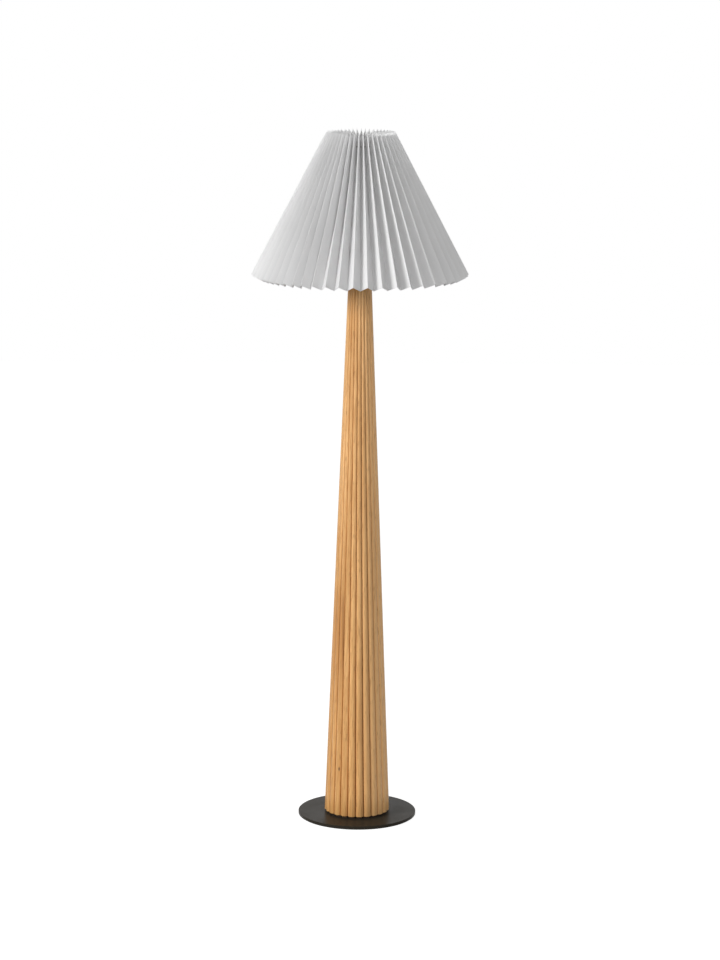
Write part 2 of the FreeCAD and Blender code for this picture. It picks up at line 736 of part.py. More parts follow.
def make_harp():
    """The saddle, the sprung wire hoop, its two sleeves and the threaded stud."""
    saddle = new_body("harp_saddle")
    ear_out = "(harp_leg - harp_wire - fit_gap)"
    ear_in = f"({ear_out} - saddle_thick)"
    strip = sketch_on(saddle, "XZ_Plane")
    draw(strip, [
        (f"-{ear_out}", COLLAR_TOP), (ear_out, COLLAR_TOP),
        (ear_out, SADDLE_TOP), (f"-{ear_out}", SADDLE_TOP)])
    pad(saddle, strip, "saddle_width", midplane=True)
    for side in ("", "-"):
        ear = sketch_on(saddle, "XZ_Plane")
        low = f"{COLLAR_TOP} + saddle_thick / 2"
        high = f"{COLLAR_TOP} + ear_height"
        draw(ear, [
            (f"{side}{ear_in}", low), (f"{side}{ear_out}", low),
            (f"{side}{ear_out}", high), (f"{side}{ear_in}", high)])
        pad(saddle, ear, "ear_width", midplane=True)
    hole = sketch_on(saddle, "XY_Plane", ("0", "0", COLLAR_TOP))
    draw_circle(hole, "nipple_radius + fit_gap")
    pocket(saddle, hole, "2 * saddle_thick", reverse=True)

    bow = "((harp_half_width - harp_leg) / (2 * (1 - cos(harp_sweep))))"
    low = f"({SADDLE_TOP} + seat_gap)"
    leg_top = f"({SADDLE_TOP} + harp_foot_length)"
    middle = f"({leg_top} + {bow} * sin(harp_sweep))"
    out = f"({leg_top} + 2 * {bow} * sin(harp_sweep))"
    halfway = "((harp_leg + harp_half_width) / 2)"
    right = [
        ("harp_leg", low),
        ("harp_leg", leg_top, bow, -1),
        (halfway, middle, bow, 1),
        ("harp_half_width", out),
        ("harp_half_width", f"{HARP_TOP} - harp_crown", "harp_crown", 1),
        ("harp_half_width - harp_crown", HARP_TOP)]
    left = [
        ("-(harp_half_width - harp_crown)", HARP_TOP, "harp_crown", 1),
        ("-harp_half_width", f"{HARP_TOP} - harp_crown"),
        ("-harp_half_width", out, bow, 1),
        (f"-{halfway}", middle, bow, -1),
        ("-harp_leg", leg_top),
        ("-harp_leg", low)]
    harp = new_body("harp")
    path = draw(sketch_on(harp, "XZ_Plane"), right + left, closed=False)
    end = sketch_on(harp, "XY_Plane", ("0", "0", low))
    pipe(harp, draw_circle(end, "harp_wire", "harp_leg"), path)

    sleeves = new_body("harp_sleeves")
    axis = sketch_on(sleeves, "XZ_Plane", ("harp_leg - saddle_thick", SADDLE_TOP, "0"))
    wall = "(sleeve_radius - sleeve_wall)"
    ring = revolve(sleeves, draw(axis, [
        (wall, "0"), ("sleeve_radius", "0"), ("sleeve_radius", "ear_height"),
        (wall, "ear_height")]))
    around(sleeves, [ring], "2")

    stud = turned("harp_stud", [
        ("0", f"{HARP_TOP} - stud_collar_drop"),
        ("stud_collar_radius", f"{HARP_TOP} - stud_collar_drop"),
        ("stud_collar_radius", f"{HARP_TOP} + stud_collar_rise"),
        ("stud_radius", f"{HARP_TOP} + stud_collar_rise"),
        ("stud_radius", f"{HARP_TOP} + stud_height"),
        ("0", f"{HARP_TOP} + stud_height")])
    eye = sketch_on(stud, "YZ_Plane", ("0", "0", "-2 * stud_collar_radius"))
    draw_circle(eye, "harp_wire + fit_gap", "0", HARP_TOP)
    pocket(stud, eye, "4 * stud_collar_radius", reverse=True)


# ---------------------------------------------------------------- shade


def fold_section(body, radius, level, depth):
    """One pleat's section, a V with its ridge outwards, on a plane that meets
    the shade's slope squarely. Its ends lie on the two next valleys."""
    axis_level = f"({level} - {radius} * tan({SLANT}))"
    sketch = sketch_on(body, "XY_Plane", ("0", "0", axis_level), SLANT, Vector(0, -1, 0))
    ridge = f"({radius} / cos({SLANT}))"
    valley = f"({ridge} - {depth})"
    wall = fold_wall(radius, depth)
    spread = f"(cos({SLANT}) * tan(180 / pleat_count))"
    return draw(sketch, [
        (valley, f"-{valley} * {spread}"),
        (ridge, "0"),
        (valley, f"{valley} * {spread}"),
        (f"{valley} - {wall}", f"({valley} - {wall}) * {spread}"),
        (f"{ridge} - {wall}", "0"),
        (f"{valley} - {wall}", f"-({valley} - {wall}) * {spread}")])


def thread_offset():
    """How far outside the folds' inner edges the binding thread runs."""
    return f"({fold_wall('shade_rim_radius', 'pleat_depth_rim')} * cos({SLANT}) + thread_inset)"


def make_shade():
    """The pleats with their binding thread, two wire rings, struts and spider."""
    pleats = new_body("shade_pleats")
    fold = loft(pleats, [
        fold_section(pleats, "shade_foot_radius", SHADE_FOOT, "pleat_depth_foot"),
        fold_section(pleats, "shade_rim_radius", SHADE_RIM, "pleat_depth_rim")])
    around(pleats, [fold], "pleat_count")
    thread_way = f"({valley_at(WIRE_LEVEL)} + {thread_offset()})"
    channel = draw_circle(sketch_on(pleats, "XZ_Plane"),
                          "thread_radius + seat_gap", thread_way, WIRE_LEVEL)
    revolve(pleats, channel, cut=True)

    thread = new_body("binding_thread")
    revolve(thread, draw_circle(sketch_on(thread, "XZ_Plane"),
                                "thread_radius", thread_way, WIRE_LEVEL))

    low_level = f"({SHADE_FOOT} + low_ring_rise)"
    for name, level in (("top_ring", WIRE_LEVEL), ("low_ring", low_level)):
        ring = new_body(name)
        revolve(ring, draw_circle(sketch_on(ring, "XZ_Plane"),
                                  "ring_wire", ring_radius(level), level))

    struts = new_body("shade_struts")
    low_radius = ring_radius(low_level)
    high_radius = ring_radius(WIRE_LEVEL)
    lean = f"atan(({low_radius} - {high_radius}) / ({WIRE_LEVEL} - {low_level}))"
    length = f"(({WIRE_LEVEL} - {low_level}) / cos({lean}))"
    axis = sketch_on(struts, "XZ_Plane", (low_radius, low_level, "0"), lean)
    rod = revolve(struts, draw(axis, [
        ("0", "ring_wire + fit_gap"), ("strut_wire", "ring_wire + fit_gap"),
        ("strut_wire", f"{length} - ring_wire - fit_gap"),
        ("0", f"{length} - ring_wire - fit_gap")]))
    around(struts, [rod], "strut_count")

    tube("spider_washer", "stud_radius + 2 * seat_gap", "spider_radius",
         SPIDER_LOW, SPIDER_TOP)
    arms = new_body("spider_arms")
    axis = sketch_on(arms, "XZ_Plane", ("spider_radius", WIRE_LEVEL, "0"), "270")
    reach = f"({high_radius} - ring_wire - spider_radius - fit_gap)"
    arm = revolve(arms, draw(axis, [
        ("0", "fit_gap"), ("arm_wire", "fit_gap"), ("arm_wire", reach), ("0", reach)]))
    around(arms, [arm], "arm_count")


# ---------------------------------------------------------------- finial


def make_finial():
    """The low turned knob that screws down on the stud, and its washer."""
    hole = "(stud_radius + seat_gap)"
    tube("finial_washer", hole, "finial_washer_radius", FINIAL_WASHER_LOW, FINIAL_LOW)
    stud_end = f"({HARP_TOP} + stud_height + seat_gap)"
    top = f"({FINIAL_LOW} + finial_height)"
    turned("finial", [
        (hole, FINIAL_LOW),
        ("finial_radius", FINIAL_LOW),
        ("finial_radius", f"{FINIAL_LOW} + finial_height / 8"),
        ("finial_waist", f"{FINIAL_LOW} + finial_height / 4"),
        ("finial_waist", f"{FINIAL_LOW} + finial_height / 3"),
        ("finial_knob_radius", f"{FINIAL_LOW} + finial_height / 2"),
        ("finial_knob_radius", f"{top} - finial_height / 5"),
        ("finial_crown_radius", top),
        ("0", top),
        ("0", stud_end),
        (hole, stud_end)])


# ---------------------------------------------------------------- build, check and write

for make in (make_base, make_column, make_inlet, make_top_fittings, make_socket,
             make_switch, make_bulb, make_harp, make_shade, make_finial):
    make()
doc.recompute()

for item in doc.Objects:
    if "Invalid" in item.State or "Error" in item.State:
        raise RuntimeError(item.Label + " did not build")

for item in doc.Objects:
    if item.TypeId != "PartDesign::Body":
        continue
    shape = item.Shape
    if shape.isNull() or not shape.isValid() or not shape.Solids:
        raise RuntimeError(item.Label + " has no sound shape")
    shape.exportStep(f"parts/{item.Label}.step")
    print(item.Label, len(shape.Solids), "solids", round(shape.Volume), "mm3")
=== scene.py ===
# %% [markdown]
# # A floor lamp with a pleated shade
#
# The lamp stands 1.6 m high. It has a thin round steel plate, a tapering wooden column cut into
# reeds, and a white cone shade folded into fifty pleats. The fittings that hold the shade and
# the bulb hide inside it, but they show from below and from above, so they get their finish too.
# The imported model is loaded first. It is the fixed frame: every piece made here sits where its
# sub-part sits, in metres.

import json
import math
import random

import bmesh
import bpy
from mathutils import Matrix, Vector


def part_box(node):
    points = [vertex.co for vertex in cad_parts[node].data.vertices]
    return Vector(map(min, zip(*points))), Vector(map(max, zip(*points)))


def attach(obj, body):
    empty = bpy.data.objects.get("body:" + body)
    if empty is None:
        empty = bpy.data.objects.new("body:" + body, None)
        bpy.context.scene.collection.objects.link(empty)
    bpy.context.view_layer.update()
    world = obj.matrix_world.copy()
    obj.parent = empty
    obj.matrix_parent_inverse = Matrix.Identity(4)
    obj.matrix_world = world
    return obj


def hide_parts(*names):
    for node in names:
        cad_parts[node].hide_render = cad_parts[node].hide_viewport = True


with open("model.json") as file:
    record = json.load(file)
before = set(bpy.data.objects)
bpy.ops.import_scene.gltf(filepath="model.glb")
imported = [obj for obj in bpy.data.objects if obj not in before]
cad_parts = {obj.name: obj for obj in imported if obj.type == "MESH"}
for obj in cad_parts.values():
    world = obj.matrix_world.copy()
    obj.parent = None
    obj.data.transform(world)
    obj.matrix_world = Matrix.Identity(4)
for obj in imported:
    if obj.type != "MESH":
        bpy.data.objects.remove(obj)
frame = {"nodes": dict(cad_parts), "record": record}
bpy.ops.object.select_all(action="DESELECT")
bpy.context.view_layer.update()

# %% [markdown]
# ## The camera
#
# The picture was taken from about seven metres away with a long lens, from above the top of the
# shade. A long lens keeps the column's sides nearly straight and shows the plate as a flat
# ellipse. The camera is set by its place, its tilt and its lens. A third of a degree of roll
# follows the picture, in which the lamp leans that little.

# %% Camera
CAMERA_AT = (0.0, -7.363, 2.212)
TILT_DOWN, YAW, ROLL = 10.82, -0.021, 0.337    # degrees
LENS = 120.8                                   # millimetres

bpy.ops.object.camera_add(location=CAMERA_AT)
camera = bpy.context.object
camera.name = "camera"
camera.data.lens = LENS
camera.matrix_world = (
    Matrix.Translation(CAMERA_AT)
    @ Matrix.Rotation(math.radians(YAW), 4, "Z")
    @ Matrix.Rotation(math.radians(90 - TILT_DOWN), 4, "X")
    @ Matrix.Rotation(math.radians(ROLL), 4, "Z")
)
bpy.context.scene.camera = camera
bpy.ops.object.select_all(action="DESELECT")
print("camera:", LENS, "mm lens at", CAMERA_AT)

# %% [markdown]
# ## Working by hand in edit mode
#
# Each new piece starts as a primitive and is shaped in edit mode. These helpers do what a
# modeller's hands do. The first ones take a piece, open its mesh, and select the points, edges
# or faces that pass a test.

# %% Take, open and pick
def take(piece):
    """Selects one piece alone and makes it the active one."""
    bpy.ops.object.select_all(action="DESELECT")
    piece.select_set(True)
    bpy.context.view_layer.objects.active = piece


def added(name):
    """The primitive that was just added, named, with its place moved into its mesh."""
    piece = bpy.context.object
    piece.name = piece.data.name = name
    bpy.ops.object.transform_apply(location=True, rotation=True, scale=True)
    return piece


def open_mesh(piece):
    take(piece)
    bpy.ops.object.mode_set(mode="EDIT")


def close_mesh():
    bpy.ops.object.mode_set(mode="OBJECT")


def pick(test, kind="VERT"):
    """Selects the vertices, edges or faces that pass the test, and only those."""
    bpy.ops.mesh.select_mode(type=kind)
    bpy.ops.mesh.select_all(action="DESELECT")
    data = bpy.context.edit_object.data
    mesh = bmesh.from_edit_mesh(data)
    parts = {"VERT": mesh.verts, "EDGE": mesh.edges, "FACE": mesh.faces}[kind]
    found = [part for part in parts if test(part)]
    for part in found:
        part.select_set(True)
    mesh.select_flush_mode()
    bmesh.update_edit_mesh(data)
    return len(found)


def middle(part):
    """The middle of an edge or a face."""
    points = [vertex.co for vertex in part.verts]
    return sum(points, Vector()) / len(points)


# %% [markdown]
# The next helpers move what is selected: they turn it about the lamp's axis, draw it in towards
# that axis, raise it or extrude it. The last ones finish a piece. They are written once, so
# that the cells for the pieces read as a list of steps.

# %% Move and finish
AXIS = (0, 0, 0)                     # a point on the lamp's axis


def turn(degrees):
    """Turns the selection about the lamp's axis, counterclockwise seen from above."""
    backwards = -math.radians(degrees)    # with no window, this operator turns the other way
    bpy.ops.transform.rotate(value=backwards, orient_axis="Z", center_override=AXIS)


def draw_in(share):
    """Brings the selection to this share of its distance from the lamp's axis."""
    bpy.ops.transform.resize(value=(share, share, 1), center_override=AXIS)


def shift(height):
    """Raises the selection, or lowers it by a height below 0."""
    bpy.ops.transform.translate(value=(0, 0, height))


def extrude():
    bpy.ops.mesh.extrude_region_move(TRANSFORM_OT_translate={"value": (0, 0, 0)})


def face_outwards():
    bpy.ops.mesh.select_all(action="SELECT")
    bpy.ops.mesh.normals_make_consistent(inside=False)


def apply(piece, kind, **settings):
    """Adds one modifier with its settings and applies it."""
    take(piece)
    modifier = piece.modifiers.new(kind.lower(), kind)
    for name, value in settings.items():
        setattr(modifier, name, value)
    bpy.ops.object.modifier_apply(modifier=modifier.name)


def smooth(piece, degrees):
    """Shades a piece smooth, apart from edges that turn by more than these degrees."""
    take(piece)
    bpy.ops.object.shade_smooth_by_angle(angle=math.radians(degrees))
    piece.select_set(False)


def triangles(piece):
    return sum(len(polygon.vertices) - 2 for polygon in piece.data.polygons)


# %% [markdown]
# ## Writing shader maths as sums
#
# A finish is a small network of nodes. `Wire` wraps one socket and overloads + - * / and **, so
# that an expression such as `1 - mask * 0.4` adds its Math nodes.

# %% Wire
class Wire:
    """One output of a node, which can be used in sums."""

    def __init__(self, network, socket):
        self.network, self.socket = network, socket

    def maths(self, operation, *others):
        """A Math node whose first value is this one."""
        values = dict(enumerate((self, *others)))
        return self.network.node("Math", {"operation": operation}, values)

    def __add__(self, other):
        return self.maths("ADD", other)

    def __sub__(self, other):
        return self.maths("SUBTRACT", other)

    def __rsub__(self, other):
        return self.network.node("Math", {"operation": "SUBTRACT"}, {0: other, 1: self})

    def __mul__(self, other):
        return self.maths("MULTIPLY", other)

    def __truediv__(self, other):
        return self.maths("DIVIDE", other)

    def __pow__(self, other):
        return self.maths("POWER", other)

    __radd__, __rmul__ = __add__, __mul__

    def held(self):
        """The value kept between 0 and 1."""
        return self.network.node("Clamp", {}, {"Value": self})

    def between(self, none, full):
        """A straight slope: 0 at one value, 1 at the other, and held there beyond them."""
        reach = {"Value": self, "From Min": none, "From Max": full}
        return self.network.node("MapRange", {"clamp": True}, reach)

    def near(self, place, reach):
        """1 at a place, falling to 0 at a reach on either side of it."""
        return (1 - (self - place).maths("ABSOLUTE") / reach).held()


# %% [markdown]
# `Network` adds nodes to a tree. Its `node` method takes a node's type, its settings, and the
# values or links of its sockets, and gives back one output as a `Wire`. `Finish` is the network
# of one material. Its patterns read Object coordinates, which are metres on the lamp. Colours go
# through `mixed`, because a Math node would turn a colour grey.

# %% Network and Finish
class Network:
    """A tree of nodes that grows by one method."""

    def __init__(self, tree):
        self.nodes, self.links = tree.nodes, tree.links

    def node(self, kind, settings, sockets, out=0):
        made = self.nodes.new("ShaderNode" + kind)
        for name, value in settings.items():
            setattr(made, name, value)
        for socket, value in sockets.items():
            self.put(made.inputs[socket], value)
        return Wire(self, made.outputs[out])

    def put(self, socket, value):
        """Links a socket to a wire, or sets it to a colour or a number."""
        if isinstance(value, Wire):
            self.links.new(value.socket, socket)
        elif socket.type == "RGBA":
            socket.default_value = (*value, 1.0)
        else:
            socket.default_value = value


class Finish(Network):
    """The network of one material, with the patterns and mixes that the finishes share."""

    def __init__(self, name):
        self.name = name
        self.material = bpy.data.materials.new(name)
        self.material.use_nodes = True
        super().__init__(self.material.node_tree)
        self.shader = self.nodes["Principled BSDF"]

    def place(self):
        """The point on the lamp, in metres."""
        return self.node("TexCoord", {}, {}, out="Object")

    def axes(self):
        """The point's X, Y and Z, each a wire of its own."""
        split = self.node("SeparateXYZ", {}, {"Vector": self.place()})
        return [Wire(self, socket) for socket in split.socket.node.outputs]

    def noise(self, scale, stretch=(1, 1, 1), detail=3.0, rough=0.5):
        """A noise of 0 to 1. A stretch below 1 draws it out along that axis."""
        point = self.node("VectorMath", {"operation": "MULTIPLY"}, {0: self.place(), 1: stretch})
        sockets = {"Vector": point, "Scale": scale, "Detail": detail, "Roughness": rough}
        return self.node("TexNoise", {}, sockets)

    def mixed(self, share, first, second):
        """Two colours mixed. They are a Mix node's sockets 6 and 7, and its output 2."""
        return self.node("Mix", {"data_type": "RGBA"}, {0: share, 6: first, 7: second}, out=2)

    def bumped(self, height, depth, strength):
        """The surface normal for a height of 0 to 1 that stands for a depth in metres."""
        return self.node("Bump", {}, {"Strength": strength, "Distance": depth, "Height": height})

    def lit_through(self, share, colour):
        """Lets a share of the light pass through a thin sheet, in the given colour."""
        surface = Wire(self, self.shader.outputs["BSDF"])
        behind = self.node("BsdfTranslucent", {}, {"Color": colour})
        both = self.node("MixShader", {}, {0: share, 1: surface, 2: behind})
        self.put(self.nodes["Material Output"].inputs["Surface"], both)

    def coat(self, **sockets):
        """Sets or links the shader's sockets, each named with _ for a space."""
        for name, value in sockets.items():
            self.put(self.shader.inputs[name.replace("_", " ")], value)
        print("finish:", self.name, "with", len(self.nodes), "nodes")
        return self.material


finishes = {}

# %% [markdown]
# ## Shade paper
#
# The shade is matt white paper. It has hardly any shine, only a faint mottle from its pulp and a
# fine tooth. The light does most of the rest: the folds look grey because they shade each other.
# A wide white room lights the inside of a fold more than the picture does, so a painted shade
# darkens the paper a little from the ridges inwards, less towards the top. The shade's outline
# comes first, because that painted shade follows its slope.

# %% Shade outline
shade_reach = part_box("shade_pleats")[1]
LOW_RIDGE, LOW_VALLEY = (shade_reach.x, 1.2870), (0.2298, 1.2764)    # radius and height
TOP_RIDGE, TOP_VALLEY = (0.0786, shade_reach.z), (0.0534, 1.6008)
SLOPE = (LOW_RIDGE[0] - TOP_RIDGE[0]) / (TOP_RIDGE[1] - LOW_RIDGE[1])
print("shade:", round(math.degrees(math.atan(SLOPE)), 1), "degrees from upright")

# %% Marks and painted shade on the paper
FOLD_DEPTH = 0.029                   # from a ridge level in to the valley beside it
# The dark spot in each valley is painted: it stands for the thread, its holes and the shade round
# them.
THREAD_Z, THREAD_R = 1.5848, 0.066   # the binding thread shows as a dark spot in each valley
SPOT_UP, SPOT_IN = 0.0024, 0.008     # and a spot reaches this far

paper = Finish("shade_paper")
across, ahead, height = paper.axes()
from_axis = (across * across + ahead * ahead) ** 0.5
# painted dark spots for the thread's holes, with their shade
spots = height.near(THREAD_Z, SPOT_UP) * from_axis.near(THREAD_R, SPOT_IN)
sunk_in = (LOW_RIDGE[0] - (height - LOW_RIDGE[1]) * SLOPE - from_axis) / FOLD_DEPTH
# painted shade: the paper greys from the ridges inwards, less near the top
fold_shade = sunk_in.between(0.03, 0.5) * (1 - height.between(1.4, 1.6) * 0.8)
print("thread spots", round(TOP_RIDGE[1] - THREAD_Z, 3), "m under the top rim")

# %% [markdown]
# Paper this thin lets some light through, which keeps the narrow valleys and the inside of the
# rim pale. A Mix Shader adds a translucent share, larger towards the top, where the folds lie
# close together.

# %% Shade paper
PAPER_PALE, PAPER_DULL = (0.94, 0.94, 0.94), (0.88, 0.88, 0.88)
# painted shade colours: deep in the folds, and round the thread's holes
FOLD_SHADE_GREY, SPOT_SHADE_DARK = (0.72, 0.72, 0.725), (0.3, 0.29, 0.28)

pulp = paper.noise(14, detail=4)
fibre = paper.noise(420, stretch=(1, 1, 0.35), detail=3, rough=0.6)
mottle = (pulp * 0.7 + fibre * 0.5 - 0.1).held()
white = paper.mixed(mottle, PAPER_PALE, PAPER_DULL)
# the painted shade deep in each fold
white = paper.mixed(fold_shade * 0.45, white, FOLD_SHADE_GREY)
finishes["shade_paper"] = paper.coat(
    Base_Color=paper.mixed((spots * 1.6).held(), white, SPOT_SHADE_DARK),
    Roughness=0.82 + fibre * 0.12,
    Specular_IOR_Level=0.2,
    Normal=paper.bumped(fibre, 0.00012, 0.5),
)
paper.lit_through(0.25 + height.between(1.3, 1.6) * 0.3, PAPER_PALE)

# %% [markdown]
# ## Column wood
#
# The column is pale hardwood under a thin satin lacquer. Wood grain is drawn out along the tree,
# so each noise is drawn out along Z: broad streaks of tone, fine fibres, and short dark pores.
# The column's own sizes come first, because its grooves and its foot get painted shade,
# which follows them.

# %% Column sizes
column_low, column_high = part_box("column")
FOOT_Z, NECK_Z = column_low.z, column_high.z
FOOT_R = max(vertex.co.xy.length for vertex in frame["nodes"]["column"].data.vertices)
NECK_R = 0.0248
TAPER = (FOOT_R - NECK_R) / (NECK_Z - FOOT_Z)
GAP = 0.004                          # the reeds stop this far above the plate
print("column:", round(NECK_Z - FOOT_Z, 4), "m high,", round(2 * FOOT_R, 4), "m at the foot")

# %% Grain
wood = Finish("column_wood")
warp = wood.noise(5, stretch=(1, 1, 0.16), detail=2)
streak = wood.noise(34, stretch=(1, 1, 0.045), detail=4, rough=0.55)
fibres = wood.noise(330, stretch=(1, 1, 0.03), detail=3, rough=0.6)
pores = wood.noise(520, stretch=(1, 1, 0.07), detail=1).between(0.62, 0.68)
print("grain:", len(wood.nodes), "nodes")

# %% [markdown]
# Growth rings are shells round the tree's heart. The heart lies to the left of the column and
# leans, so the taper cuts the shells into long pointed arches. Each ring darkens slowly
# outwards and ends at once, as a year's growth does.

# %% Growth rings
RINGS_PER_METRE = 95
HEART_X, HEART_Y = -0.105, 0.05      # the tree's heart at the floor
LEAN_X, LEAN_Y = 0.035, -0.02        # and how far it moves for each metre up

x, y, z = wood.axes()
heart_x = x - HEART_X - z * LEAN_X + warp * 0.03
heart_y = y - HEART_Y - z * LEAN_Y
from_heart = (heart_x * heart_x + heart_y * heart_y) ** 0.5
ring = (from_heart * RINGS_PER_METRE).maths("FRACT")
ring_line = (ring ** 3) * (1 - ring.between(0.9, 1.0))
print("rings:", round(1000 / RINGS_PER_METRE, 1), "mm apart")

# %% [markdown]
# Low on the left lies a patch of darker wood, with a dark joint between two staves along its
# edge, and there is a small knot near the foot. The right side of the column is painted paler,
# as painted light. The bottoms of the grooves are darker, partly with lacquer and dust and partly
# as painted shade, most on the paler side, and the foot in the gap under the reeds is painted
# dark as shade.

# %% Marks, painted light and painted shade on the column
PATCH_X, PATCH_Z = -0.03, 0.45       # the patch's edge, and the height where it is widest
JOINT_X, JOINT_WIDE = -0.0348, 0.0026
KNOT_X, KNOT_Z = -0.0425, 0.124

on_front = 1 - y.between(-0.03, -0.02)
patch_edge = x + (z - PATCH_Z).maths("ABSOLUTE") * 0.02 + warp * 0.004
patch = patch_edge.between(PATCH_X, PATCH_X - 0.005) * z.between(0.57, 0.53) * z.between(0.24, 0.42)
patch = patch * (1 - y.between(-0.012, 0.0)) * (0.55 + streak * 0.7)
joint = x.near(JOINT_X, JOINT_WIDE) * z.between(0.56, 0.52) * z.between(0.34, 0.4) * on_front
knot = x.near(KNOT_X, 0.0024) * z.near(KNOT_Z, 0.006) * on_front
# painted light: the right side of the column is made paler
painted_light_side = x.between(-0.005, 0.05)
# painted shade, with some lacquer and dust, deep in the grooves
sunk = 1 - (x * x + y * y) ** 0.5 / (FOOT_R - (z - FOOT_Z) * TAPER)
groove = sunk.between(0.055, 0.1)
# painted shade in the gap under the reeds
painted_shade_under_reeds = z.between(FOOT_Z + GAP + 0.0003, FOOT_Z + GAP - 0.0003)
print("grain and marks:", len(wood.nodes), "nodes")

# %% [markdown]
# The colour is built up in layers, as with thin stains: a ground that is deeper towards the
# foot, and over it each mark, the painted light and the painted shade, by the share that shows.

# %% Column wood
tone = wood.mixed(1 - z.between(0.0, 1.2), (0.93, 0.56, 0.245), (0.83, 0.455, 0.165))
layers = (
    (streak.between(0.38, 0.62) * 0.7, (0.58, 0.29, 0.09)),
    (ring_line * 0.25, (0.5, 0.24, 0.07)),
    (fibres.between(0.48, 0.6) * 0.6, (0.55, 0.25, 0.07)),
    # painted light on the right side
    (painted_light_side * 0.6, (1.0, 0.62, 0.285)),
    (patch * 0.75, (0.55, 0.25, 0.07)),
    (joint * 0.8, (0.25, 0.1, 0.03)),
    (pores * 0.4, (0.3, 0.13, 0.04)),
    # painted shade in the grooves, with lacquer and dust
    (groove * (0.3 + painted_light_side * 0.7), (0.22, 0.1, 0.035)),
    ((knot * 1.5).held(), (0.12, 0.05, 0.02)),
    # painted shade in the gap under the reeds
    (painted_shade_under_reeds, (0.08, 0.04, 0.02)),
)
for share, stain in layers:
    tone = wood.mixed(share, tone, stain)
finishes["column_wood"] = wood.coat(
    Base_Color=tone,
    Roughness=0.36 + fibres * 0.14,
    Specular_IOR_Level=0.35,
    Coat_Weight=0.06,
    Coat_Roughness=0.3,
    Normal=wood.bumped(fibres * 0.5 - pores * 0.5, 0.00025, 0.5),
)

# %% [markdown]
# ## Plate paint
#
# The plate is steel under a dark bronze paint. The paint is finely speckled and rippled, and its
# gloss is uneven where cloths and shoes have rubbed it. The picture sees the plate at a low
# angle, where a strong shine would mirror the white room and turn it grey, so its specular level
# is low.

# %% Plate paint
paint = Finish("plate_steel")
ripple = paint.noise(520, detail=2)
rub = paint.noise(16, detail=5, rough=0.6)
speck = paint.noise(2400, detail=1)
finishes["plate_steel"] = paint.coat(
    Base_Color=paint.mixed(speck.between(0.4, 0.7), (0.026, 0.022, 0.016), (0.036, 0.031, 0.024)),
    Roughness=0.3 + rub.between(0.35, 0.75) * 0.12,
    Specular_IOR_Level=0.05,
    Normal=paint.bumped(ripple, 0.00008, 0.25),
)

# %% [markdown]
# ## Metals
#
# Turned brass has fine rings from the lathe, zinc plate has a cloudy grey bloom, and the rolled
# aluminium of the socket and the bulb cap is bright with a soft thread. One function makes them
# all, from a metal's two colours, how dull it is, and how its fine lines run.

# %% Metals
LATHE = (0.06, 0.06, 1)              # lines round the axis
DRAWN = (1, 1, 0.06)                 # lines along it


def metal(slot, bright, dull, rough, lines):
    made = Finish(slot)
    cloud = made.noise(60, detail=4, rough=0.6)
    line = made.noise(900, stretch=lines, detail=2)
    finishes[slot] = made.coat(
        Base_Color=made.mixed(cloud.between(0.35, 0.75), bright, dull),
        Metallic=1.0,
        Roughness=rough + cloud * 0.12 + line * 0.1,
        Normal=made.bumped(line, 0.00006, 0.4),
    )


metal("zinc_steel", (0.66, 0.66, 0.64), (0.5, 0.51, 0.5), 0.3, LATHE)
metal("brass", (0.83, 0.63, 0.32), (0.66, 0.46, 0.2), 0.2, LATHE)
metal("harp_wire", (0.81, 0.62, 0.33), (0.62, 0.45, 0.22), 0.24, DRAWN)
metal("aluminium", (0.82, 0.82, 0.82), (0.68, 0.68, 0.69), 0.28, LATHE)

# %% [markdown]
# ## Moulded, painted and fibrous finishes
#
# The small parts that are not metal share a recipe too: a colour that drifts a little, a grain
# at its own scale, and a roughness that follows the grain. Plastic is fine and even, foam is
# coarse, insulating board is speckled, and powder coat has the skin of an orange.

# %% Plain finishes
def plain(slot, pale, deep, rough, grain, depth, stretch=(1, 1, 1)):
    made = Finish(slot)
    drift = made.noise(25, detail=3)
    fine = made.noise(grain, stretch=stretch, detail=3, rough=0.6)
    finishes[slot] = made.coat(
        Base_Color=made.mixed((drift * 0.6 + fine * 0.7 - 0.15).held(), pale, deep),
        Roughness=rough + fine * 0.15,
        Normal=made.bumped(fine, depth, 0.6),
    )


plain("pad_felt", (0.05, 0.05, 0.05), (0.02, 0.02, 0.02), 0.8, 900, 0.0006)
plain("plug_wood", (0.72, 0.53, 0.33), (0.5, 0.32, 0.16), 0.6, 300, 0.0003, (1, 1, 0.05))
plain("black_plastic", (0.035, 0.034, 0.032), (0.016, 0.016, 0.016), 0.3, 700, 0.0001)
plain("lead_sheath", (0.05, 0.05, 0.05), (0.025, 0.025, 0.025), 0.45, 500, 0.0001)
plain("liner_board", (0.26, 0.2, 0.14), (0.1, 0.075, 0.05), 0.7, 1100, 0.0002)
plain("white_plastic", (0.85, 0.85, 0.83), (0.77, 0.765, 0.74), 0.35, 600, 0.0001)
plain("thread", (0.2, 0.18, 0.16), (0.07, 0.06, 0.05), 0.6, 1500, 0.0002)
plain("white_wire", (0.84, 0.84, 0.82), (0.74, 0.74, 0.72), 0.35, 1300, 0.0001)

# %% [markdown]
# ## Bulb glass
#
# The bulb is frosted inside, so it reads as a milky, softly shining surface, whiter at the crown
# and a little grey near its cap, where the frosting thins.

# %% Bulb glass
BULB_NECK_Z, BULB_CROWN_Z = 1.42, 1.5

